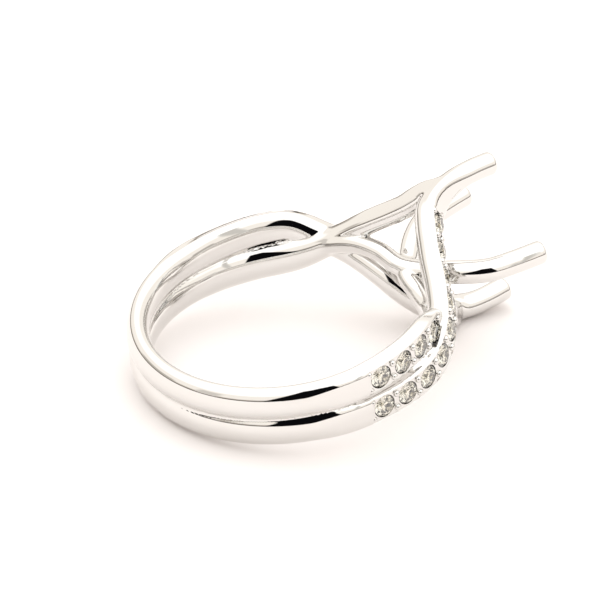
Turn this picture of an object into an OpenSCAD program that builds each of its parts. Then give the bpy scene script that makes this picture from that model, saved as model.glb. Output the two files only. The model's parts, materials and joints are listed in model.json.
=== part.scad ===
// Semi-mount ring in polished white metal, with small stones and no centre stone.
// Two wires lie side by side round the finger. At each shoulder one wire passes over the
// other, and all of them rise into an open basket with four prongs.
// The ring is the same after half a turn about the axis that runs through its head, so one
// strand, one bridge and one set of stones are drawn, and each has a turned twin.
// Ring frame: X from the finger's centre to the head, Z along the finger. The ring is then
// tipped so that it lies on its side, as it rests on a flat surface.

/* [Finger band] */
// Inside diameter of the band
finger_d = 17.2; // [16.4:0.1:18.4]
// Thickness of a band wire, measured outwards from the finger
band_t = 1.5; // [1.4:0.05:1.7]
// Width of a band wire along the finger
band_w = 2.3; // [2.2:0.05:2.4]
// Distance between the centre lines of the two band wires, at the back of the finger
band_pitch = 1.86; // [1.8:0.02:2]

/* [Head] */
// Diameter of the wires that carry the head
rail_d = 1.7; // [1.6:0.05:1.8]
// Diameter of a strand's inner leg, from above the crossing to its prong's foot
inner_d = 1.45; // [1.35:0.05:1.6]
// Diameter of the bridge under the centre stone's place
bridge_d = 1.3; // [1.2:0.05:1.5]
// Diameter of a prong
prong_d = 1.55; // [1.45:0.05:1.7]
// Radius of the rounded edge on a prong's end
prong_edge = 0.3; // [0.15:0.05:0.5]

/* [Stones] */
// Diameter of a stone
stone_d = 1.5; // [1.4:0.05:1.55]
// Size of a stone above the crossing on the inner leg, as a share of the others
upper_share = 0.87; // [0.8:0.01:0.95]
// Stones along the outer wire, from the band towards the head
outer_stones = 9; // [1:1:9]
// Stones along the inner wire before it passes under the other
inner_stones = 4; // [1:1:4]
// Stones along the inner wire above the crossing
upper_stones = 3; // [1:1:3]
// Distance from one stone to the next along a wire's centre line
stone_pitch = 1.86; // [1.82:0.01:1.9]
// Angle by which the stones' face turns about the outer wire, up to the head
face_turn = 12; // [0:2:24]
// Clear space between a stone and its seat
seat_gap = 0.04; // [0.03:0.01:0.06]
// Thickness of the metal wall beside a stone
wall = 0.14; // [0.12:0.01:0.18]
// Width of a band wire where stones are set
set_w = 2; // [1.9:0.05:2.2]
// Radius of the metal beads that hold the stones
bead_r = 0.27; // [0.2:0.01:0.3]

/* [Fineness] */
// Sides of a wire's section
wire_sides = 12; // [10:2:16]
// Step between two sections of a plain stretch of wire
wire_step = 1.25; // [1:0.05:1.5]

/* [Hidden] */
half_t = band_t / 2;
half_w = band_w / 2;
mid_r = finger_d / 2 + half_t;
band_z = band_pitch / 2;
rail_r = rail_d / 2;
inner_r = inner_d / 2;
bridge_r = bridge_d / 2;
prong_r = prong_d / 2;

// The head's places are given for this finger size and move out with a larger finger
base_finger_d = 17.2;
out = (finger_d - base_finger_d) / 2;

// A stone's proportions, as shares of its diameter
table_share = 0.57;
crown_share = 0.15;
girdle_share = 0.04;
pavilion_share = 0.42;
stone_sides = 16;
// How far a stone's girdle lies below the wire's face
sunk = 0.12;
// Where the stones begin on the band and above the crossing, as angles from the head
first_stone_angle = 86;
upper_stone_angle = 28;
// Beads stand beside the gap between two stones, this far from the wire's middle
bead_side = 0.5;
bead_sides = 6;
// In the corners at the ends of a run they are smaller, and stand this far in and aside
end_bead_share = 0.85;
end_bead_side = 0.62;
end_bead_in = 0.1;
// Height above the wire's face to which a seat is cut clear
clear_above = 0.2;

// A section has this many times its oval's size, so that its flats touch the oval
round_out = 1 / cos(180 / wire_sides);

// Where stones are set, the outer half of a section is an oval whose outward and sideways
// places are raised to these powers: lower is squarer, so that the face is flat
square_out = 0.5;
square_side = 0.1;
// The plain wire turns from round to square over this length before a run of stones
square_reach = 4;
// A wire's face lies lower where stones are set, with a short step at each end of the run
set_drop = 0.07;
run_step = 0.06;
thin_half_w = stone_d / 2 + seat_gap + wall;

// Strand: one wire from its prong's tip, down the near shoulder on the outside, round the
// finger and up the far shoulder on the inside, back to the foot of its own prong.
// Columns: angle from the head, distance from the finger's axis, height along the finger,
// half thickness outwards, half width along the finger
STRAND = [
    [0, 16.65 + out, 4.9, prong_r, prong_r],
    [0, 15.1 + out, 5.0, prong_r, prong_r],
    [0, 13.6 + out, 4.9, prong_r, prong_r],
    [-0.5, 12.4 + out, 4.6, prong_r, prong_r],
    [-2, 11.45 + out, 4.2, rail_r, rail_r],
    [-5, 10.85 + out, 3.8, rail_r, rail_r + 0.05],
    [-11, 10.3 + out, 3.05, rail_r, rail_r + 0.05],
    [-19, 9.95 + out, 2.0, rail_r, rail_r + 0.05],
    [-31, 9.9 + out, 0.85, rail_r, rail_r + 0.05],
    [-43, 10 + out, 0, rail_r, rail_r + 0.1],
    [-53.5, 9.95 + out, -0.82, half_t, half_w - 0.05],
    [-64, 9.75 + out, -band_z - 0.1, half_t, half_w + 0.05],
    [-77, mid_r + 0.1, -band_z - 0.16, half_t, half_w + 0.05],
    [-88, mid_r, -band_z - 0.12, half_t, half_w + 0.05],
    [-99, mid_r, -band_z - 0.06, half_t, half_w],
    [-126, mid_r, -band_z, half_t, half_w],
    [-153, mid_r, -band_z, half_t, half_w],
    [-180, mid_r, -band_z, half_t, half_w],
    [-207, mid_r, -band_z - 0.02, half_t, half_w],
    [-234, mid_r, -band_z - 0.08, half_t, half_w],
    [-261, mid_r, -band_z - 0.2, half_t, half_w],
    [-272, mid_r, -band_z - 0.25, half_t, half_w + 0.05],
    [-290, mid_r, -band_z - 0.28, half_t, half_w + 0.05],
    [-307, mid_r, -0.95, half_t, half_w],
    [-322, mid_r + 0.15, 0, half_t - 0.05, rail_r],
    [-337.5, 9.9 + out, 1.7, inner_r, inner_r],
    [-350, 10.8 + out, 3.1, inner_r, inner_r],
    [-357.5, 12 + out, 4.45, inner_r - 0.05, inner_r - 0.05],
    [-360, 12.7 + out, 4.65, inner_r - 0.15, inner_r - 0.15],
];

// Bridge: the near prong, from its tip, then under the centre stone's place to the far
// shoulder, where it joins the strand. Columns: x, y, z, radius
BRIDGE = [
    [17.05 + out, -4.3, 0, prong_r],
    [15.1 + out, -4.05, 0, prong_r],
    [13.2 + out, -3.6, 0, prong_r],
    [11.6 + out, -2.5, 0.05, prong_r],
    [10.3 + out, -1.15, 0.05, bridge_r + 0.05],
    [9.15 + out, 0.3, 0.2, bridge_r],
    [8.8 + out, 2.1, 0.55, bridge_r],
    [8.25 + out, 3.9, 0.5, bridge_r],
    [7.45 + out, 5.6, 0, bridge_r],
    [6.4 + out, 7, -0.6, bridge_r - 0.15],
];

// Columns: angle past the head, turn of the strand's face about the wire
FACE_TURNS = [[42, face_turn], [66, 0]];

function unit(v) = v / norm(v);

function point(p) = [p[0], p[1], p[2]];

// Smooth curve through four neighbouring rows, with t from 0 to 1 between the middle two
function between(a, b, c, d, t) =
    (2 * b + (c - a) * t + (2 * a - 5 * b + 4 * c - d) * t ^ 2
        + (3 * b - a - 3 * c + d) * t ^ 3) / 2;

function row(rows, i) = rows[min(max(i, 0), len(rows) - 1)];

function curve(rows, steps) = concat(
    [for (i = [0:len(rows) - 2], k = [0:steps - 1])
        between(row(rows, i - 1), rows[i], rows[i + 1], row(rows, i + 2), k / steps)],
    [rows[len(rows) - 1]]);

// Length along the curve at each of its places
function lengths(places) =
    [for (i = 0, s = 0; i < len(places);
        i = i + 1, s = s + norm(point(row(places, i)) - point(places[i - 1]))) s];

// Each column of the places against the length, so that a place can be looked up
function track(places) = let (s = lengths(places))
    [for (c = [0:len(places[0]) - 1]) [for (i = [0:len(places) - 1]) [s[i], places[i][c]]]];

function track_length(t) = last(t[0])[0];

function place(t, s) = [for (column = t) lookup(s, column)];

function heading(t, s) = unit(point(place(t, s + 0.1)) - point(place(t, s - 0.1)));

fine = 8;
// The strand's places: x, y, z, half thickness, half width, angle past the head
STRAND_TRACK = track([for (r = curve(STRAND, fine))
    [r[1] * cos(r[0]), r[1] * sin(r[0]), r[2], r[3], r[4], -r[0]]]);
// The bridge's places: x, y, z, half thickness, half width
BRIDGE_TRACK = track([for (r = curve(BRIDGE, fine)) [r[0], r[1], r[2], r[3], r[3]]]);

// Length along the strand at an angle past the head
function length_at(angle) =
    lookup(angle, [for (angle_there = STRAND_TRACK[5]) [angle_there[1], angle_there[0]]]);

// Edges of a run of stones, whose first stone's middle is at the length s
function edges(s, stones) = [for (k = [0:stones]) s + (k - 0.5) * stone_pitch];

PRONG_LENGTH = length_at(0.5);
OUTER_EDGES = edges(length_at(first_stone_angle) - (outer_stones - 1) * stone_pitch,
    outer_stones);
INNER_EDGES = edges(length_at(360 - first_stone_angle), inner_stones);
UPPER_EDGES = edges(length_at(360 - upper_stone_angle), upper_stones);

function last(list) = list[len(list) - 1];

// Directions out of a wire's face and across it at length s. The first is level, away from
// the finger, where the face isn't turned about the wire
function directions(t, s) =
    let (h = heading(t, s), level = -unit(cross(h, [0, 0, 1])), up = cross(h, level),
        p = place(t, s), w = len(p) > 5 ? lookup(p[5], FACE_TURNS) : 0)
    [level * cos(w) + up * sin(w), up * cos(w) - level * sin(w)];

function power(v, p) = sign(v) * abs(v) ^ p;

// How square a section at length s is: 1 along the runs of stones, and 0 far from them
function squareness(s, runs) =
    max([0, for (r = runs) 1 - max(r[0] - s, s - last(r), 0) / square_reach]);

// Place on the outer half of a section, outwards and sideways, at the angle w
function outer_place(thick, wide, w, square) = [
    thick * power(round_out * cos(w), 1 + (square_out - 1) * square),
    wide * power(round_out * sin(w), 1 + (square_side - 1) * square)];

// The same where stones of this size are set
function set_place(p, w, size) =
    outer_place(p[3] - set_drop, max(min(p[4], set_w / 2), thin_half_w * size), w, 1);

// One section of a wire at length s: made smaller all round by trim, or holding stones of
// a size
function section(t, s, trim, square, size) =
    let (p = place(t, s), d = directions(t, s))
    [for (k = [0:wire_sides - 1])
        let (w = 360 * (k + 0.5) / wire_sides,
            q = cos(w) < 0 ? round_out * [(p[3] - trim) * cos(w), (p[4] - trim) * sin(w)]
                : size > 0 ? set_place(p, w, size)
                : outer_place(p[3] - trim, p[4] - trim, w, square))
        point(p) + q * d];

// Sections of a wire, each with its length, its trim, how square it is and the size of its
// stones, or 0. At the tip they lie close together and round the prong's end
function tip() =
    [for (w = [0:30:60]) [prong_edge * (1 - cos(w)), prong_edge * (1 - sin(w)), 0, 0]];

function plain(from, to, runs) = let (n = ceil((to - from) / wire_step))
    [for (i = [0:n]) let (s = from + (to - from) * i / n) [s, 0, squareness(s, runs), 0]];

function stone_run(edges, size) = [for (s = edges) [s, 0, 1, size]];

// The strand is drawn in two lengths that meet behind the finger, because the second ends
// inside the first. The second starts with a plug inside the first
RUNS = [OUTER_EDGES, INNER_EDGES, UPPER_EDGES];
SIZES = [1, 1, upper_share];
MEETING = length_at(180);
plug = 0.5;
plug_trim = 0.2;
OUTER_STATIONS = concat(
    tip(),
    plain(prong_edge, OUTER_EDGES[0] - run_step, RUNS),
    stone_run(OUTER_EDGES, 1),
    plain(last(OUTER_EDGES) + run_step, MEETING, RUNS));
INNER_STATIONS = concat(
    [[MEETING - plug, plug_trim, 0, 0]],
    plain(MEETING, INNER_EDGES[0] - run_step, RUNS),
    stone_run(INNER_EDGES, 1),
    plain(last(INNER_EDGES) + run_step, UPPER_EDGES[0] - run_step, RUNS),
    stone_run(UPPER_EDGES, upper_share),
    plain(last(UPPER_EDGES) + run_step, track_length(STRAND_TRACK), RUNS));

BRIDGE_STATIONS = concat(tip(), plain(prong_edge, track_length(BRIDGE_TRACK), []));

module wire(t, stations) {
    rings = [for (s = stations) section(t, s[0], s[1], s[2], s[3])];
    n = len(rings);
    m = wire_sides;
    polyhedron(
        points = [for (r = rings) each r],
        faces = concat(
            [[for (k = [0:m - 1]) k]],
            [for (i = [0:n - 2], k = [0:m - 1])
                let (a = i * m + k, b = i * m + (k + 1) % m)
                each [[a, a + m, b], [b, a + m, b + m]]],
            [[for (k = [m - 1:-1:0]) (n - 1) * m + k]]));
}

// Middle of the wire's outer face at an edge between stones
function face(s) = let (p = place(STRAND_TRACK, s))
    point(p) + set_place(p, 180 / wire_sides, 1)[0] * directions(STRAND_TRACK, s)[0];

// Puts what is drawn round Z on the strand's outer face between the lengths a and b: Z then
// points outwards and Y along the wire
module on_face(a, b) {
    f = unit(face(b) - face(a));
    across = directions(STRAND_TRACK, a)[1] + directions(STRAND_TRACK, b)[1];
    o = unit(cross(across, f));
    u = cross(f, o);
    c = (face(a) + face(b)) / 2;
    multmatrix([
        [u[0], f[0], o[0], c[0]],
        [u[1], f[1], o[1], c[1]],
        [u[2], f[2], o[2], c[2]]]) children();
}

function ring_of(n, r, z) =
    [for (k = [0:n - 1]) [r * cos(360 * k / n), r * sin(360 * k / n), z]];

// Round brilliant cut: a table with eight sides, a crown, a girdle and a pavilion
module stone() color("azure") {
    n = stone_sides;
    r = stone_d / 2;
    low = -sunk - girdle_share * stone_d;
    culet = 2 * n + n / 2;
    polyhedron(
        points = concat(
            ring_of(n, r, low),
            ring_of(n, r, -sunk),
            ring_of(n / 2, r * table_share, -sunk + crown_share * stone_d),
            [[0, 0, low - pavilion_share * stone_d]]),
        faces = concat(
            [[for (k = [n / 2 - 1:-1:0]) 2 * n + k]],
            [for (k = [0:n - 1]) [k, (k + 1) % n, culet]],
            [for (k = [0:n - 1]) [k, n + k, n + (k + 1) % n, (k + 1) % n]],
            [for (k = [0:n / 2 - 1])
                let (a = n + 2 * k, b = a + 1, c = n + (2 * k + 2) % n,
                    d = 2 * n + k, e = 2 * n + (k + 1) % (n / 2))
                each [[a, d, b], [b, d, e], [b, e, c]]]));
}

// Space cut for a stone: a cone under it and a round hole that opens outwards
module seat() {
    r = stone_d / 2 + seat_gap;
    low = -sunk - girdle_share * stone_d - seat_gap;
    deep = pavilion_share * stone_d + seat_gap;
    hull() {
        translate([0, 0, low]) cylinder(r = r, h = clear_above - low, $fn = stone_sides);
        translate([0, 0, low - deep]) cylinder(r = seat_gap, h = seat_gap, $fn = 4);
    }
}

// A pair of beads on the strand's outer face at the length s
module beads(s, side, r) on_face(s - run_step, s + run_step) for (way = [-1, 1])
    translate([way * side, 0, -r / 3]) sphere(r = r, $fn = bead_sides);

module beads_along(run, size) {
    for (k = [1:1:len(run) - 2]) beads(run[k], bead_side * size, bead_r);
    for (s = [run[0] + end_bead_in, last(run) - end_bead_in])
        beads(s, end_bead_side * size, bead_r * end_bead_share);
}

module both_ways() {
    children();
    rotate([180, 0, 0]) children();
}

// All the metal is one casting
module ring_mount() color("gainsboro") {
    difference() {
        both_ways() {
            wire(STRAND_TRACK, OUTER_STATIONS);
            wire(STRAND_TRACK, INNER_STATIONS);
            wire(BRIDGE_TRACK, BRIDGE_STATIONS);
            for (k = [0:2]) beads_along(RUNS[k], SIZES[k]);
        }
        both_ways() for (s = STONE_SPANS) on_face(s[0], s[1]) scale(s[2]) seat();
    }
}

// Start and end of each stone's stretch of the strand and its size, from the band towards
// the head
STONE_SPANS = concat(
    [for (k = [outer_stones:-1:1]) [OUTER_EDGES[k - 1], OUTER_EDGES[k], 1]],
    [for (k = [1:inner_stones]) [INNER_EDGES[k - 1], INNER_EDGES[k], 1]],
    [for (k = [1:upper_stones]) [UPPER_EDGES[k - 1], UPPER_EDGES[k], upper_share]]);
stones_per_strand = len(STONE_SPANS);

// Stone i: the first strand's stones come first, then its twin's
module stone_in_place(i) {
    span = STONE_SPANS[i % stones_per_strand];
    rotate([i < stones_per_strand ? 0 : 180, 0, 0])
        on_face(span[0], span[1]) scale(span[2]) stone();
}

function two_digits(i) = str(i < 10 ? "0" : "", i);

function stone_name(i) =
    let (k = i % stones_per_strand, first = i < stones_per_strand, outer = k < outer_stones)
    str(first == outer ? "near_" : "far_", outer ? "outer" : "inner", "_stone_",
        two_digits(outer ? k + 1 : k - outer_stones + 1));

stones = 2 * stones_per_strand;

// The ring lies on its side, on the band's edge and the lowest prong. This is the slope of
// the line that touches the band's edge and a place on the prong from below
function slope(p) = let (along = p[0] + mid_r, down = abs(p[2]) - band_z)
    atan2(down, along) + asin((p[4] - half_w) / norm([along, down]));

lift = max([for (k = [0:wire_step:PRONG_LENGTH]) slope(place(STRAND_TRACK, k))]);

module lying() rotate([0, -lift, 0]) children();

lying() ring_mount();
for (i = [0:stones - 1]) lying() stone_in_place(i);
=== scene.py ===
"""A semi-mount ring in polished white gold with small brilliants, lying on a pale floor.

The metal is worked out as a distance field round the wires' centre lines, so that crossing
wires flow into each other as they do in a casting. Seats and channels are then cut sharply.
Lengths are in millimetres up to the last step, which turns them into metres.
Ring frame: X from the finger's centre to the head, Z along the finger. The ring is the same
after half a turn about X, so one strand is worked out and its twin is the same field turned.
"""
import json
import math

import bpy
import numpy as np
import openvdb
from mathutils import Matrix, Vector


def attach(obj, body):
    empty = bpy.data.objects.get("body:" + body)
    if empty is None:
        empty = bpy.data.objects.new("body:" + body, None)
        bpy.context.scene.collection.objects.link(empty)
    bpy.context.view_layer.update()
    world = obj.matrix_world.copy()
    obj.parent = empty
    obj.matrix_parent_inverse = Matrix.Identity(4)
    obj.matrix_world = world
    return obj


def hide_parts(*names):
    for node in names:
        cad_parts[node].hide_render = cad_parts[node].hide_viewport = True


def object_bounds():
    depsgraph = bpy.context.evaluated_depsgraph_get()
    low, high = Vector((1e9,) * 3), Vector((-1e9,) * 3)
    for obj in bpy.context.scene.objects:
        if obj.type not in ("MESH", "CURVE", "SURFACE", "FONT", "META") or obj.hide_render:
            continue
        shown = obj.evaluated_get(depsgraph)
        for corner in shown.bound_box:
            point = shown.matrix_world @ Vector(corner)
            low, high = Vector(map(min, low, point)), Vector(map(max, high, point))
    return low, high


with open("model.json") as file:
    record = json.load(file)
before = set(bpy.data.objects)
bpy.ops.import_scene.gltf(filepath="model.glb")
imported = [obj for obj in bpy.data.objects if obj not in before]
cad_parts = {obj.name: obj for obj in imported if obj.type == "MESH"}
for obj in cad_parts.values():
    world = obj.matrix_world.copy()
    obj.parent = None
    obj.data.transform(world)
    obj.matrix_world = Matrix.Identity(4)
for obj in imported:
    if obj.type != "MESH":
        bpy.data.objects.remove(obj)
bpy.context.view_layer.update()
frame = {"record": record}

MM = 0.001

# Driving sizes, as in the part's source
FINGER_D = 17.2
BAND_T = 1.5
BAND_W = 2.3
BAND_PITCH = 1.86
RAIL_D = 1.7
INNER_D = 1.45
BRIDGE_D = 1.3
PRONG_D = 1.55
PRONG_EDGE = 0.3
STONE_D = 1.5
STONE_PITCH = 1.86
UPPER_SHARE = 0.87
SEAT_GAP = 0.04
OUTER_STONES = 9
INNER_STONES = 4
UPPER_STONES = 3
FIRST_STONE_ANGLE = 86
UPPER_STONE_ANGLE = 28
FACE_TURN = 12

half_t = BAND_T / 2
half_w = BAND_W / 2
mid_r = FINGER_D / 2 + half_t
band_z = BAND_PITCH / 2
rail_r = RAIL_D / 2
inner_r = INNER_D / 2
bridge_r = BRIDGE_D / 2
prong_r = PRONG_D / 2

# Where stones are set, a wire's face is flat and lies a little lower. It steps down over a
# short length beside the run, and its square shape fades out over a longer one
SET_DROP = 0.07
STEP_LENGTH = 0.12
SQUARE_REACH = 4.0
# The set face's greatest width, and its least half width
SET_W = 2.0
THIN_HALF_W = 0.93
# Powers of the oval that make a section round or nearly square
ROUND_POWER = 2.0
SQUARE_POWER = 5.0
# Between these heights a section narrows from the wire's width to the set face's width
NARROW_FROM = -0.2
NARROW_TO = 0.4

# A shallow channel between two thin walls holds the stones
WALL = 0.15
CHANNEL_DEEP = 0.13
CHANNEL_END = 0.12

# The strand, from its prong's tip round the finger to the foot of the same prong.
# Columns: angle from the head, distance from the finger's axis, height along the finger,
# half thickness outwards, half width along the finger
STRAND = [
    [0, 16.65, 4.9, prong_r, prong_r],
    [0, 15.1, 5.0, prong_r, prong_r],
    [0, 13.6, 4.9, prong_r, prong_r],
    [-0.5, 12.4, 4.6, prong_r, prong_r],
    [-2, 11.45, 4.2, rail_r, rail_r],
    [-5, 10.85, 3.8, rail_r, rail_r + 0.05],
    [-11, 10.3, 3.05, rail_r, rail_r + 0.05],
    [-19, 9.95, 2.0, rail_r, rail_r + 0.05],
    [-31, 9.9, 0.85, rail_r, rail_r + 0.05],
    [-43, 10, 0, rail_r, rail_r + 0.1],
    [-53.5, 9.95, -0.82, half_t, half_w - 0.05],
    [-64, 9.75, -band_z - 0.1, half_t, half_w + 0.05],
    [-77, mid_r + 0.1, -band_z - 0.16, half_t, half_w + 0.05],
    [-88, mid_r, -band_z - 0.12, half_t, half_w + 0.05],
    [-99, mid_r, -band_z - 0.06, half_t, half_w],
    [-126, mid_r, -band_z, half_t, half_w],
    [-153, mid_r, -band_z, half_t, half_w],
    [-180, mid_r, -band_z, half_t, half_w],
    [-207, mid_r, -band_z - 0.02, half_t, half_w],
    [-234, mid_r, -band_z - 0.08, half_t, half_w],
    [-261, mid_r, -band_z - 0.2, half_t, half_w],
    [-272, mid_r, -band_z - 0.25, half_t, half_w + 0.05],
    [-290, mid_r, -band_z - 0.28, half_t, half_w + 0.05],
    [-307, mid_r, -0.95, half_t, half_w],
    [-322, mid_r + 0.15, 0, half_t - 0.05, rail_r],
    [-337.5, 9.9, 1.7, inner_r, inner_r],
    [-350, 10.8, 3.1, inner_r, inner_r],
    [-357.5, 12, 4.45, inner_r - 0.05, inner_r - 0.05],
    [-360, 12.7, 4.65, inner_r - 0.15, inner_r - 0.15],
]

# Columns: angle past the head, turn of the strand's face about the wire
FACE_TURNS = [
    [42, FACE_TURN],
    [66, 0],
]

# The bridge, from the near prong's tip, under the centre stone's place, to the far shoulder.
# Columns: x, y, z, radius
BRIDGE = [
    [17.05, -4.3, 0, prong_r],
    [15.1, -4.05, 0, prong_r],
    [13.2, -3.6, 0, prong_r],
    [11.6, -2.5, 0.05, prong_r],
    [10.3, -1.15, 0.05, bridge_r + 0.05],
    [9.15, 0.3, 0.2, bridge_r],
    [8.8, 2.1, 0.55, bridge_r],
    [8.25, 3.9, 0.5, bridge_r],
    [7.45, 5.6, 0, bridge_r],
    [6.4, 7, -0.6, bridge_r - 0.15],
]

# Field: the cell's size, and how far from a centre line it is worked out
CELL = 0.12
REACH = 2.3
# The grid ends beyond the prongs' tips and above the widest place, with some cells to spare
HEAD_END = 17.5
HEAD_HALF_HEIGHT = 6.2
PAD_CELLS = 4
# Fillets where wires meet: narrow round the finger, and wider from one X to the other
BACK_FILLET = 0.06
HEAD_FILLET = 0.35
FILLET_FROM = 8.5
FILLET_TO = 10.5
# Steps along a centre line, and how far the strand's two lengths overlap behind the finger
CURVE_STEPS = 24
SAMPLE_STEP = 0.1
STRAND_OVERLAP = 1.0
# Least share of a step along the wire that is left on the inside of a tight bend
TIGHTEST_BEND = 0.2

# A round brilliant's proportions: widths as shares of its radius, heights of its diameter
TABLE_SHARE = 0.57
STAR_SHARE = 0.76
LOWER_SHARE = 0.22
CROWN_SHARE = 0.15
STAR_HEIGHT = 0.092
GIRDLE_SHARE = 0.035
PAVILION_SHARE = 0.42
# How far the girdle lies below the wire's face, and how far above it a seat is cut clear
SUNK = 0.12
CLEAR_ABOVE = 0.2
SEAT_SIDES = 32

# Beads beside the gap between two stones, and smaller ones in the corners of a run
BEAD_R = 0.24
BEAD_SIDE = 0.52
END_BEAD_SHARE = 0.85
END_BEAD_SIDE = 0.62
END_BEAD_IN = 0.1
BEAD_SPAN = 0.02


# Centre lines

def between(a, b, c, d, t):
    """Smooth curve through four neighbouring rows, for t from 0 to 1 between the middle two."""
    return (2 * b + (c - a) * t + (2 * a - 5 * b + 4 * c - d) * t ** 2
            + (3 * b - a - 3 * c + d) * t ** 3) / 2


def curve(rows):
    """The rows with CURVE_STEPS places between each two of them."""
    rows = np.array(rows, float)
    padded = np.vstack([rows[:1], rows, rows[-1:]])
    steps = np.arange(CURVE_STEPS)[:, None] / CURVE_STEPS
    spans = [between(*padded[i:i + 4], steps) for i in range(len(rows) - 1)]
    return np.vstack(spans + [rows[-1:]])


class Line:
    """A wire's centre line with its half sizes and its face's turn about it, in degrees."""

    def __init__(self, places, half_sizes, turns):
        self.places = places
        self.half_sizes = half_sizes
        self.turns = turns[:, None]
        steps = np.linalg.norm(np.diff(places, axis=0), axis=1)
        self.s = np.concatenate([[0], np.cumsum(steps)])
        self.length = self.s[-1]

    def at(self, s, columns):
        return np.stack([np.interp(s, self.s, c) for c in columns.T], -1)

    def place(self, s):
        return self.at(s, self.places)

    def sizes(self, s):
        return self.at(s, self.half_sizes)

    def heading(self, s):
        step = self.place(s + SAMPLE_STEP) - self.place(s - SAMPLE_STEP)
        return step / np.linalg.norm(step, axis=-1, keepdims=True)

    def frame(self, s):
        """Directions along the wire, out of its face, and across it."""
        along = self.heading(s)
        level = np.cross([0, 0, 1], along)
        level /= np.linalg.norm(level, axis=-1, keepdims=True)
        up = np.cross(along, level)
        turn = np.radians(self.at(s, self.turns))
        out = level * np.cos(turn) + up * np.sin(turn)
        return along, out, np.cross(along, out)


strand_rows = curve(STRAND)
angles = np.radians(strand_rows[:, 0])
strand = Line(np.stack([strand_rows[:, 1] * np.cos(angles),
                        strand_rows[:, 1] * np.sin(angles), strand_rows[:, 2]], -1),
              strand_rows[:, 3:5], np.interp(-strand_rows[:, 0], *zip(*FACE_TURNS)))
bridge_rows = curve(BRIDGE)
bridge = Line(bridge_rows[:, :3], bridge_rows[:, [3, 3]], np.zeros(len(bridge_rows)))


def length_at(angle):
    """Length along the strand at an angle past the head."""
    return float(np.interp(angle, -strand_rows[:, 0], strand.s))


class Run:
    """A run of stones: its start and end along the strand, and its stones' number and size."""

    def __init__(self, first_middle, stones, size=1.0):
        self.stones = stones
        self.size = size
        self.start = first_middle - STONE_PITCH / 2
        self.end = self.start + stones * STONE_PITCH
        self.edges = np.linspace(self.start, self.end, stones + 1)


outer_run = Run(length_at(FIRST_STONE_ANGLE) - (OUTER_STONES - 1) * STONE_PITCH, OUTER_STONES)
inner_run = Run(length_at(360 - FIRST_STONE_ANGLE), INNER_STONES)
upper_run = Run(length_at(360 - UPPER_STONE_ANGLE), UPPER_STONES, UPPER_SHARE)
RUNS = [outer_run, inner_run, upper_run]


# The field

class Grid:
    """Regular cells, the same on both sides of the X axis so that a half turn fits them."""

    def __init__(self, low, high):
        count = np.ceil((high - low) / CELL).astype(int) + 2 * PAD_CELLS
        middle = (low + high) / 2
        self.axes = [m + (np.arange(n) - (n - 1) / 2) * CELL for m, n in zip(middle, count)]
        self.shape = tuple(count)
        self.start = np.array([a[0] for a in self.axes])


def smooth_step(x):
    """0 up to x = 0 and 1 from x = 1 on, with a smooth rise between."""
    x = np.clip(x, 0, 1)
    return x * x * (3 - 2 * x)


def union(a, b, fillet):
    """The nearer of two fields, with a round fillet where they meet."""
    near = np.maximum(fillet - np.abs(a - b), 0) / fillet
    return np.minimum(a, b) - near ** 2 * fillet / 4


def section_distance(out, side, half_sizes, s, runs):
    """Distance from a wire's surface: an oval section, square outside where stones are set."""
    thick, wide = half_sizes[:, 0], half_sizes[:, 1]
    square, drop, thin = np.zeros(len(s)), np.zeros(len(s)), np.full(len(s), THIN_HALF_W)
    for run in runs:
        past = np.maximum(run.start - s, s - run.end)
        square = np.maximum(square, 1 - np.maximum(past, 0) / SQUARE_REACH)
        drop = np.maximum(drop, smooth_step(0.5 - past / STEP_LENGTH))
        thin = np.where(past < SQUARE_REACH, THIN_HALF_W * run.size, thin)
    square = smooth_step(square)
    outside = out > 0
    power = np.where(outside, ROUND_POWER + (SQUARE_POWER - ROUND_POWER) * square, ROUND_POWER)
    set_wide = np.maximum(np.minimum(wide, SET_W / 2), thin)
    narrow = smooth_step((out - NARROW_FROM) / (NARROW_TO - NARROW_FROM))
    wide = wide + (set_wide - wide) * square * narrow
    thick = np.where(outside, thick - SET_DROP * drop, thick)
    x, y = np.abs(out / thick), np.abs(side / wide)
    f = np.maximum((x ** power + y ** power) ** (1 / power), 1e-3)
    gradient = np.hypot((x / f) ** (power - 1) / thick, (y / f) ** (power - 1) / wide)
    return (f - 1) / np.maximum(gradient, 1e-3)


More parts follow.
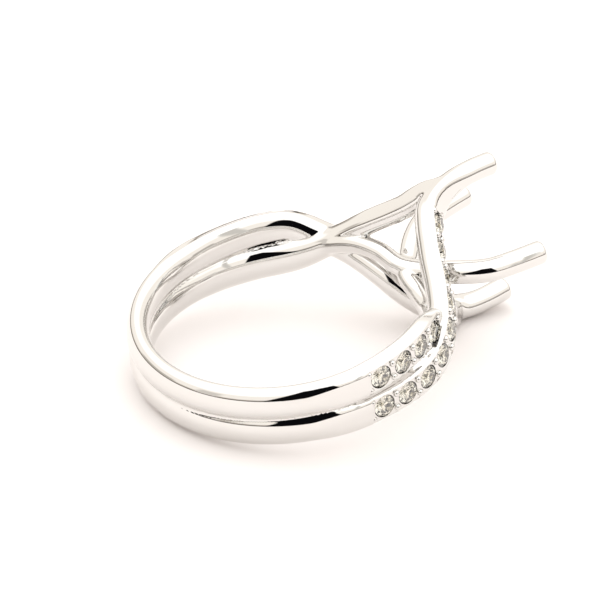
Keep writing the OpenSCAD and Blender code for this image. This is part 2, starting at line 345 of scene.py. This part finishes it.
def wire_field(grid, line, start, end, runs, has_tip):
    """Distance from a wire between two lengths. A tip at its start has PRONG_EDGE at its rim."""
    s = np.linspace(start, end, max(int((end - start) / SAMPLE_STEP), 2))
    centre, (along, out, side) = line.place(s), line.frame(s)
    sizes = line.sizes(s)
    nearest = np.full(grid.shape, -1, np.int32)
    best = np.full(grid.shape, REACH ** 2, np.float32)
    for i, c in enumerate(centre):
        window = [slice(*np.searchsorted(axis, [v - REACH, v + REACH]))
                  for axis, v in zip(grid.axes, c)]
        x, y, z = [(axis[w] - v) ** 2 for axis, w, v in zip(grid.axes, window, c)]
        d = x[:, None, None] + y[None, :, None] + z[None, None, :]
        window = tuple(window)
        closer = d < best[window]
        best[window][closer] = d[closer]
        nearest[window][closer] = i
    cells = np.argwhere(nearest >= 0)
    i = nearest[tuple(cells.T)]
    p = grid.start + cells * CELL - centre[i]
    step = s[1] - s[0]
    slope = [np.gradient(v, step, axis=0) for v in (along, out, side, sizes)]
    # The place on the curve, a little before or after the sample
    bend = (p * slope[0][i]).sum(1)
    shift = (p * along[i]).sum(1) / np.maximum(1 - bend, TIGHTEST_BEND)
    inside = np.clip(shift, -step, step)
    at_end = ((i == 0) & (shift < 0)) | ((i == len(s) - 1) & (shift > 0))
    inside[at_end] = 0
    t = inside[:, None]
    p = p - t * along[i] - t ** 2 / 2 * slope[0][i]
    outward = (p * (out[i] + t * slope[1][i])).sum(1)
    sideways = (p * (side[i] + t * slope[2][i])).sum(1)
    half_sizes = sizes[i] + t * slope[3][i]
    d = section_distance(outward, sideways, half_sizes, s[i] + inside, runs)
    # How far past the wire's nearer end the place lies: less than 0 along the wire
    past = np.where(at_end, np.abs(shift), -np.minimum(s[i] + inside - start, end - s[i] - inside))
    edge = np.stack([d, past]) + PRONG_EDGE
    rim = np.linalg.norm(np.maximum(edge, 0), axis=0) + np.minimum(edge.max(0), 0) - PRONG_EDGE
    d = np.where(has_tip & (i < len(s) / 2), rim, np.maximum(d, past))
    field = np.full(grid.shape, REACH, np.float32)
    field[tuple(cells.T)] = d
    return field


def metal_field():
    """Both strands and both bridges with their fillets, on one grid."""
    band_reach = mid_r + half_t
    grid = Grid(np.array([-band_reach, -band_reach, -HEAD_HALF_HEIGHT]),
                np.array([HEAD_END, band_reach, HEAD_HALF_HEIGHT]))
    middle = length_at(180)
    outer = wire_field(grid, strand, 0, middle + STRAND_OVERLAP, [outer_run], True)
    inner = wire_field(grid, strand, middle - STRAND_OVERLAP, strand.length,
                       [inner_run, upper_run], False)
    across = wire_field(grid, bridge, 0, bridge.length, [], True)
    headward = smooth_step((grid.axes[0] - FILLET_FROM) / (FILLET_TO - FILLET_FROM))
    fillet = (BACK_FILLET + (HEAD_FILLET - BACK_FILLET) * headward)[:, None, None]
    # Behind the finger the strand's two lengths are one wire, so no fillet is drawn there
    strands = np.where(grid.axes[0][:, None, None] < 0, np.minimum(outer, inner),
                       union(outer, inner, fillet))
    half = union(strands, across, fillet)
    twin = half[:, ::-1, ::-1]
    return grid, union(half, twin, fillet).astype(np.float32)


# Places on the strand's face, and what is cut or set there

def face_frame(s_from, s_to):
    """Matrix of a place on the strand's face: Z points outwards and Y along the wire."""
    ends = np.array([s_from, s_to])
    along, out, side = strand.frame(ends)
    height = strand.sizes(ends)[:, :1] - SET_DROP
    face = strand.place(ends) + height * out
    forward = face[1] - face[0]
    forward /= np.linalg.norm(forward)
    outward = np.cross(side.sum(0), forward)
    outward /= np.linalg.norm(outward)
    axes = np.stack([np.cross(forward, outward), forward, outward], 1)
    return Matrix([[*row, c] for row, c in zip(axes, face.mean(0))] + [[0, 0, 0, 1]])


HALF_TURN = Matrix.Rotation(math.pi, 4, "X")


def stone_frames():
    """Each stone's name and place: the first strand's stones, then its twin's."""
    outer, inner, upper = ([face_frame(a, b) @ Matrix.Scale(run.size, 4)
                            for a, b in zip(run.edges[:-1], run.edges[1:])] for run in RUNS)
    frames = {}
    for outer_side, inner_side, turn in (("near", "far", Matrix.Identity(4)),
                                         ("far", "near", HALF_TURN)):
        for name, places in ((f"{outer_side}_outer", outer[::-1]),
                             (f"{inner_side}_inner", inner + upper)):
            for number, place in enumerate(places, 1):
                frames[name, f"{number:02d}"] = turn @ place
    return frames


def ring_of(count, r, z, turn=0.0):
    """Points of a level circle. A turn of 1 moves each to the next one's place."""
    a = 2 * math.pi * (np.arange(count) + turn) / count
    return [(r * math.cos(v), r * math.sin(v), z) for v in a]


def brilliant():
    """Points and faces of a round brilliant: table, stars, kites, halves and pavilion."""
    r = STONE_D / 2
    top = -SUNK
    low = top - GIRDLE_SHARE * STONE_D
    points = (ring_of(8, r * TABLE_SHARE, top + CROWN_SHARE * STONE_D)
              + ring_of(8, r * STAR_SHARE, top + STAR_HEIGHT * STONE_D, 0.5)
              + ring_of(16, r, top) + ring_of(16, r, low)
              + ring_of(8, r * LOWER_SHARE, low - (1 - LOWER_SHARE) * PAVILION_SHARE * STONE_D, 0.5)
              + [(0, 0, low - PAVILION_SHARE * STONE_D)])
    # Where each circle's points start in the list
    table, star, upper, lower, main, culet = 0, 8, 16, 32, 48, 56
    faces = [[table + k for k in range(8)]]
    for k in range(8):
        after, before = (k + 1) % 8, (k - 1) % 8
        corner, half, next_half = 2 * k, 2 * k + 1, (2 * k + 2) % 16
        faces.append([table + k, star + k, table + after])
        faces.append([table + k, star + before, upper + corner, star + k])
        faces.append([star + k, upper + corner, upper + half])
        faces.append([star + k, upper + half, upper + next_half])
        faces.append([upper + corner, lower + corner, lower + half, upper + half])
        faces.append([upper + half, lower + half, lower + next_half, upper + next_half])
        faces.append([lower + corner, main + k, lower + half])
        faces.append([lower + half, main + k, lower + next_half])
        faces.append([lower + corner, main + before, culet, main + k])
    return points, faces


def seat():
    """Points and faces of the space cut for a stone: a cone with a round mouth."""
    sides = SEAT_SIDES
    r = STONE_D / 2 + SEAT_GAP
    low = -SUNK - GIRDLE_SHARE * STONE_D - SEAT_GAP
    points = ring_of(sides, r, CLEAR_ABOVE) + ring_of(sides, r, low)
    points.append((0, 0, low - PAVILION_SHARE * STONE_D - SEAT_GAP))
    faces = [list(range(sides))]
    for k in range(sides):
        after = (k + 1) % sides
        faces.append([k, sides + k, sides + after, after])
        faces.append([sides + k, 2 * sides, sides + after])
    return points, faces


def channel(run):
    """Points and faces of the shallow channel along a run, with four stations a stone."""
    stations = np.linspace(run.start + CHANNEL_END, run.end - CHANNEL_END, 4 * run.stones + 1)
    _, out, side = strand.frame(stations)
    sizes = strand.sizes(stations)
    face = strand.place(stations) + (sizes[:, :1] - SET_DROP) * out
    width = np.clip(sizes[:, 1], THIN_HALF_W * run.size, SET_W / 2) - WALL
    corners = [(-1, -CHANNEL_DEEP), (1, -CHANNEL_DEEP), (1, CLEAR_ABOVE), (-1, CLEAR_ABOVE)]
    points = [face[i] + w * width[i] * side[i] + h * out[i]
              for i in range(len(stations)) for w, h in corners]
    faces = [[0, 1, 2, 3]]
    for i in range(len(stations) - 1):
        for k in range(4):
            a, b = 4 * i + k, 4 * i + (k + 1) % 4
            faces.append([a, a + 4, b + 4, b])
    end = 4 * (len(stations) - 1)
    faces.append([end + 3, end + 2, end + 1, end])
    return points, faces


def bead(sides=12, rings=6):
    """Points and faces of a round bead."""
    points = [(0, 0, BEAD_R)]
    for j in range(1, rings):
        a = math.pi * j / rings
        points += ring_of(sides, BEAD_R * math.sin(a), BEAD_R * math.cos(a))
    points.append((0, 0, -BEAD_R))
    faces = [[0, 1 + k, 1 + (k + 1) % sides] for k in range(sides)]
    for j in range(rings - 2):
        for k in range(sides):
            a, b = 1 + j * sides + k, 1 + j * sides + (k + 1) % sides
            faces.append([a, a + sides, b + sides, b])
    last = 1 + (rings - 2) * sides
    faces += [[last + k, len(points) - 1, last + (k + 1) % sides] for k in range(sides)]
    return points, faces


def bead_frames():
    """Places of the beads: a pair between each two stones, and smaller ones at the ends."""
    frames = []
    for run in RUNS:
        for k, s in enumerate(run.edges):
            at_end = k in (0, run.stones)
            s += END_BEAD_IN * ((k == 0) - (k == run.stones))
            place = face_frame(s - BEAD_SPAN, s + BEAD_SPAN)
            share = END_BEAD_SHARE if at_end else 1
            side = (END_BEAD_SIDE if at_end else BEAD_SIDE) * run.size
            for way in (-1, 1):
                # A bead's middle lies half its radius below the wire's face
                shift = Matrix.Translation((way * side, 0, -BEAD_R / 2))
                frames.append(place @ shift @ Matrix.Scale(share, 4))
    return frames + [HALF_TURN @ f for f in frames]


# Meshes

# The ring lies on its side: its finger hole's axis leans back by a few degrees
lift_axis = next(Vector(m["axis"]) for m in frame["record"]["mounts"] if m["name"] == "finger_hole")
LYING = Matrix.Rotation(math.atan2(lift_axis.x, lift_axis.z), 4, "Y")
TO_ROW = Matrix.Scale(MM, 4) @ LYING


def mesh_object(name, points, faces):
    """An object with one mesh, in the scene."""
    mesh = bpy.data.meshes.new(name)
    mesh.from_pydata([tuple(p) for p in points], [], [list(f) for f in faces])
    mesh.update()
    made = bpy.data.objects.new(name, mesh)
    bpy.context.scene.collection.objects.link(made)
    return made


def many(name, shapes):
    """One mesh of several shapes, each with its points, faces and matrix."""
    points, faces = [], []
    for (shape_points, shape_faces), matrix in shapes:
        start = len(points)
        points += [matrix @ Vector(p) for p in shape_points]
        faces += [[start + v for v in f] for f in shape_faces]
    return mesh_object(name, points, faces)


def combine(target, tool, operation):
    """Joins the tool's shape to the target or cuts it away, and removes the tool."""
    cut = target.modifiers.new(tool.name, "BOOLEAN")
    cut.operation = operation
    cut.solver = "MANIFOLD"
    cut.object = tool
    graph = bpy.context.evaluated_depsgraph_get()
    made = bpy.data.meshes.new_from_object(target.evaluated_get(graph))
    target.modifiers.clear()
    old = target.data
    target.data = made
    bpy.data.meshes.remove(old)
    bpy.data.objects.remove(tool)


def field_gradient(grid, field, points):
    """Direction in which the field grows fastest at each point, and its value there."""
    cells = (points - grid.start) / CELL
    base = np.clip(np.floor(cells).astype(int), 1, np.array(grid.shape) - 3)
    t = cells - base
    gradient = np.zeros_like(points)
    value = np.zeros(len(points))
    for corner in np.ndindex(2, 2, 2):
        at = base + corner
        weight = np.prod(np.where(corner, t, 1 - t), axis=1)
        value += weight * field[tuple(at.T)]
        for axis in range(3):
            step = np.eye(3, dtype=int)[axis]
            slope = field[tuple((at + step).T)] - field[tuple((at - step).T)]
            gradient[:, axis] += weight * slope
    return gradient / np.linalg.norm(gradient, axis=1, keepdims=True), value


# Faces that meet at more than this angle keep a sharp edge between them
SHARP_ANGLE = math.radians(35)
# A corner is shaded as the wire where the cosine between its face's normal and the field's
# direction is over the first, and it lies within this many millimetres of the wire's surface
NORMALS_AGREE = 0.9
ON_SURFACE = 0.03


def smooth_normals(mesh, grid, field):
    """Shades the wires by the field's own direction, and the cut faces by their angles."""
    mesh.shade_smooth()
    mesh.set_sharp_from_angle(angle=SHARP_ANGLE)
    points = np.empty(len(mesh.vertices) * 3)
    mesh.vertices.foreach_get("co", points)
    outwards, value = field_gradient(grid, field, points.reshape(-1, 3))
    corner_vertex = np.empty(len(mesh.loops), int)
    mesh.loops.foreach_get("vertex_index", corner_vertex)
    normals = np.empty(len(mesh.loops) * 3, np.float32)
    mesh.corner_normals.foreach_get("vector", normals)
    normals = normals.reshape(-1, 3)
    face_normals = np.empty(len(mesh.polygons) * 3, np.float32)
    mesh.polygons.foreach_get("normal", face_normals)
    sizes = np.empty(len(mesh.polygons), int)
    mesh.polygons.foreach_get("loop_total", sizes)
    face_of_corner = np.repeat(face_normals.reshape(-1, 3), sizes, axis=0)
    wanted = outwards[corner_vertex]
    agrees = (wanted * face_of_corner).sum(1) > NORMALS_AGREE
    on_wire = agrees & (np.abs(value[corner_vertex]) < ON_SURFACE)
    normals[on_wire] = wanted[on_wire]
    mesh.normals_split_custom_set(normals.tolist())


def metal():
    """The whole casting as one mesh, in the ring frame and in millimetres."""
    grid, field = metal_field()
    volume = openvdb.FloatGrid()
    volume.background = REACH
    volume.copyFromArray(field)
    points, quads = volume.convertToQuads(isovalue=0.0)
    made = mesh_object("cast_wires", points * CELL + grid.start, quads)
    runs = [(channel(run), turn) for run in RUNS for turn in (Matrix.Identity(4), HALF_TURN)]
    combine(made, many("channels", runs), "DIFFERENCE")
    combine(made, many("beads", [(bead(), f) for f in bead_frames()]), "UNION")
    combine(made, many("seats", [(seat(), f) for f in stone_frames().values()]), "DIFFERENCE")
    smooth_normals(made.data, grid, field)
    made.data.transform(TO_ROW)
    return made


# Materials

class Finish:
    """A material's nodes, and what links them."""

    def __init__(self, name):
        self.material = bpy.data.materials.new(name)
        self.material.use_nodes = True
        self.nodes = self.material.node_tree.nodes
        self.links = self.material.node_tree.links
        self.shader = self.nodes["Principled BSDF"]

    def set(self, **values):
        """Constants on the shader's own sockets, by their names with _ for each space."""
        for name, value in values.items():
            self.shader.inputs[name.replace("_", " ")].default_value = value

    def feed(self, value, name):
        """Links a node's result to one of the shader's own sockets."""
        self.links.new(value, self.shader.inputs[name])

    def noise(self, scale, detail):
        """A noise texture fixed to the object, at a scale in cycles per metre."""
        place = self.nodes.new("ShaderNodeTexCoord")
        texture = self.nodes.new("ShaderNodeTexNoise")
        texture.inputs["Scale"].default_value = scale
        texture.inputs["Detail"].default_value = detail
        self.links.new(place.outputs["Object"], texture.inputs["Vector"])
        return texture.outputs["Fac"]

    def spread(self, value, low, high):
        """Noise, which lies mostly from 0.3 to 0.7, spread out from low to high."""
        ramp = self.nodes.new("ShaderNodeMapRange")
        for name, number in (("From Min", 0.3), ("From Max", 0.7), ("To Min", low),
                             ("To Max", high)):
            ramp.inputs[name].default_value = number
        self.links.new(value, ramp.inputs["Value"])
        return ramp.outputs["Result"]

    def mottle(self, colour, other_colour, scale, detail):
        """A colour that wanders between two, as the surface's own."""
        tint = self.nodes.new("ShaderNodeMix")
        tint.data_type = "RGBA"
        tint.inputs["A"].default_value = (*colour, 1)
        tint.inputs["B"].default_value = (*other_colour, 1)
        self.links.new(self.noise(scale, detail), tint.inputs["Factor"])
        self.feed(tint.outputs["Result"], "Base Color")

    def ripple(self, strength, height, scale, detail):
        """A fine unevenness, its height in metres."""
        bump = self.nodes.new("ShaderNodeBump")
        bump.inputs["Strength"].default_value = strength
        bump.inputs["Distance"].default_value = height
        self.links.new(self.noise(scale, detail), bump.inputs["Height"])
        self.feed(bump.outputs["Normal"], "Normal")


def white_gold():
    """Rhodium-bright white gold: a mirror polish with a trace of the buffing wheel."""
    finish = Finish("white_gold_polish")
    finish.set(Metallic=1.0)
    finish.mottle((0.73, 0.715, 0.695), (0.75, 0.74, 0.725), scale=400, detail=2)
    finish.feed(finish.spread(finish.noise(900, 4), 0.02, 0.05), "Roughness")
    finish.ripple(strength=0.05, height=0.00002, scale=1500, detail=5)
    return finish.material


def diamond():
    """Clear stone with a warm grey-olive body colour and small clouds inside."""
    finish = Finish("small_diamond")
    finish.set(Roughness=0.0, IOR=2.42, Transmission_Weight=1.0)
    finish.mottle((0.80, 0.75, 0.6), (1.0, 0.97, 0.9), scale=500, detail=3)
    return finish.material


def pale_floor():
    """Matt white, with a faint warm mottle."""
    finish = Finish("pale_floor")
    finish.set(Roughness=0.7)
    finish.mottle((0.955, 0.915, 0.905), (0.965, 0.925, 0.915), scale=60, detail=3)
    return finish.material


# Pieces

def make_metal():
    """The casting. Its mesh comes from the cuts with empty slots, which are cleared."""
    made = metal()
    made.name = "cast_mount"
    made.data.materials.clear()
    made.data.materials.append(white_gold())
    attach(made, "root")
    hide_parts("ring_mount")


def make_stones():
    """A full brilliant in the place of each of the part's stones."""
    material = diamond()
    points, faces = brilliant()
    for (run, number), place in stone_frames().items():
        stone = mesh_object(f"{run}_brilliant_{number}", points, faces)
        stone.data.transform(TO_ROW @ place)
        stone.data.materials.append(material)
        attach(stone, "root")
        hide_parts(f"{run}_stone_{number}")


# Camera, floor and light

# The camera as seen from the lying ring: its direction and roll in degrees, how far it
# stands from a point in the ring's middle, and how far it is moved right and up from there
VIEW_AZIMUTH = -34.93
VIEW_ELEVATION = 30.62
VIEW_ROLL = 1.57
VIEW_AIM = Vector((3.5, 0, 0))
VIEW_DISTANCE = 589.6
VIEW_MIDDLE_RIGHT = -2.022
VIEW_MIDDLE_UP = 0.393
LENS = 556.7
SENSOR = 36.0


def direction(azimuth, elevation):
    """Unit vector at angles in degrees: azimuth 0 lies towards -Y, and 90 towards +X."""
    az, el = math.radians(azimuth), math.radians(elevation)
    return Vector((math.sin(az) * math.cos(el), -math.cos(az) * math.cos(el), math.sin(el)))


def make_camera():
    """A long lens from the photograph's side and height."""
    back = direction(VIEW_AZIMUTH, VIEW_ELEVATION)
    roll = math.radians(VIEW_ROLL)
    level = Vector((0, 0, 1)).cross(back).normalized()
    upright = back.cross(level)
    right = level * math.cos(roll) + upright * math.sin(roll)
    up = upright * math.cos(roll) - level * math.sin(roll)
    place = (LYING @ VIEW_AIM + back * VIEW_DISTANCE + right * VIEW_MIDDLE_RIGHT
             + up * VIEW_MIDDLE_UP)
    data = bpy.data.cameras.new("camera")
    data.lens = LENS
    data.sensor_width = SENSOR
    data.clip_start = 0.01
    data.clip_end = 10
    camera = bpy.data.objects.new("camera", data)
    camera.matrix_world = Matrix([[*row, p * MM] for row, p in zip(zip(right, up, back), place)]
                                 + [[0, 0, 0, 1]])
    bpy.context.scene.collection.objects.link(camera)
    bpy.context.scene.camera = camera


# Half the table's width and the key lamp, in metres, degrees and watts
TABLE_HALF = 1.5
KEY_AZIMUTH = 150
KEY_ELEVATION = 62
KEY_DISTANCE = 0.6
KEY_SIZE = 0.4
KEY_POWER = 0.15


def make_floor():
    """A wide pale table, as high as the ring's lowest place."""
    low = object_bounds()[0].z
    corners = [(x * TABLE_HALF, y * TABLE_HALF, low)
               for x, y in ((-1, -1), (1, -1), (1, 1), (-1, 1))]
    floor = mesh_object("floor", corners, [[0, 1, 2, 3]])
    floor.data.materials.append(pale_floor())


def make_key():
    """A soft round lamp from behind, which casts the faint shadow in front of the ring."""
    back = direction(KEY_AZIMUTH, KEY_ELEVATION)
    data = bpy.data.lights.new("key", "AREA")
    data.shape = "DISK"
    data.size = KEY_SIZE
    data.energy = KEY_POWER
    lamp = bpy.data.objects.new("key", data)
    lamp.location = back * KEY_DISTANCE
    lamp.rotation_euler = back.to_track_quat("Z", "Y").to_euler()
    bpy.context.scene.collection.objects.link(lamp)


# The room as the ring reflects it: a warm wall, darker at its foot, under a white sky, and a
# dark line where the table ends. Heights are in degrees, colours are radiance
WALL_TOP = 33
WALL_TOP_SOFT = 7
SHADE_TOP = 7.5
SHADE_SOFT = 3
HORIZON = 2.8
HORIZON_SOFT = 1.2
SKY_WHITE = (1.6, 1.585, 1.55)
WALL_WARM = (1.25, 1.185, 1.10)
WALL_SHADE = (0.52, 0.47, 0.41)
HORIZON_DARK = (0.03, 0.025, 0.02)
# Seen past the table's edge from low down, there is only a plain pale backdrop
BACKDROP = (0.93, 0.91, 0.89)
# Cards that stand before the wall. Columns: azimuths of the left and right sides at the
# horizon, how much each side leans for a degree of height, top, softness, colour
CARDS = [
    [-54, -4, 0.45, -0.3, 47, 1.0, (0.004, 0.004, 0.005)],
    [4, 9, 0.1, 0.1, 46, 1.5, (0.80, 0.77, 0.72)],
    [18, 38, 0.0, -0.3, 13, 1.5, (0.62, 0.58, 0.53)],
    [100, 128, 0.2, -0.2, 8, 2.0, (0.45, 0.40, 0.36)],
    [-150, -118, 0.0, 0.0, 13, 3.0, (0.62, 0.58, 0.52)],
    [-100, -84, 0.0, 0.0, 24, 3.0, (0.85, 0.80, 0.74)],
]


class Sky:
    """Shader nodes that work out the world's colour from the direction."""

    def __init__(self, world):
        world.use_nodes = True
        self.nodes, self.links = world.node_tree.nodes, world.node_tree.links
        place = self.nodes.new("ShaderNodeTexCoord").outputs["Generated"]
        split = self.nodes.new("ShaderNodeSeparateXYZ")
        self.links.new(place, split.inputs[0])
        x, y, z = split.outputs
        front = self.calculate("MULTIPLY", y, -1.0)
        self.azimuth = self.degrees(self.calculate("ARCTAN2", x, front))
        self.elevation = self.degrees(self.calculate("ARCSINE", z))

    def calculate(self, operation, *values):
        """A maths node's result, from other nodes' results or numbers."""
        node = self.nodes.new("ShaderNodeMath")
        node.operation = operation
        for socket, value in zip(node.inputs, values):
            if isinstance(value, (int, float)):
                socket.default_value = value
            else:
                self.links.new(value, socket)
        return node.outputs[0]

    def degrees(self, value):
        return self.calculate("DEGREES", value)

    def above(self, value, edge, soft):
        """0 below the edge and 1 above it, with a soft step."""
        step = self.nodes.new("ShaderNodeMapRange")
        step.interpolation_type = "SMOOTHSTEP"
        step.inputs["From Min"].default_value = edge - soft
        step.inputs["From Max"].default_value = edge + soft
        self.links.new(value, step.inputs["Value"])
        return step.outputs["Result"]

    def mix(self, share, a, b):
        """Colour a where the share is 0, and b where it is 1."""
        node = self.nodes.new("ShaderNodeMix")
        node.data_type = "RGBA"
        self.links.new(share, node.inputs["Factor"])
        for socket, value in ((node.inputs["A"], a), (node.inputs["B"], b)):
            if isinstance(value, tuple):
                socket.default_value = (*value, 1)
            else:
                self.links.new(value, socket)
        return node.outputs["Result"]

    def card(self, left, right, left_lean, right_lean, top, soft):
        """1 within a card that stands on the horizon, and 0 beside and above it."""
        left_side = self.calculate("MULTIPLY", self.elevation, left_lean)
        right_side = self.calculate("MULTIPLY", self.elevation, right_lean)
        after = self.above(self.calculate("SUBTRACT", self.azimuth, left_side), left, soft)
        past = self.above(self.calculate("SUBTRACT", self.azimuth, right_side), right, soft)
        over = self.above(self.elevation, top, soft)
        within = self.calculate("SUBTRACT", after, past)
        return self.calculate("MULTIPLY", within, self.calculate("SUBTRACT", 1.0, over))


def make_world():
    """The room's colours, from the table's edge up."""
    world = bpy.data.worlds.new("studio")
    bpy.context.scene.world = world
    sky = Sky(world)
    wall = sky.mix(sky.above(sky.elevation, SHADE_TOP, SHADE_SOFT), WALL_SHADE, WALL_WARM)
    shown = sky.mix(sky.above(sky.elevation, WALL_TOP, WALL_TOP_SOFT), wall, SKY_WHITE)
    for *shape, colour in CARDS:
        shown = sky.mix(sky.card(*shape), shown, colour)
    shown = sky.mix(sky.above(sky.elevation, HORIZON, HORIZON_SOFT), HORIZON_DARK, shown)
    seen = sky.nodes.new("ShaderNodeLightPath").outputs["Is Camera Ray"]
    shown = sky.mix(seen, shown, BACKDROP)
    sky.links.new(shown, sky.nodes["Background"].inputs["Color"])


bpy.context.scene.view_settings.view_transform = "Standard"
make_camera()
make_world()
make_key()
make_metal()
make_stones()
make_floor()
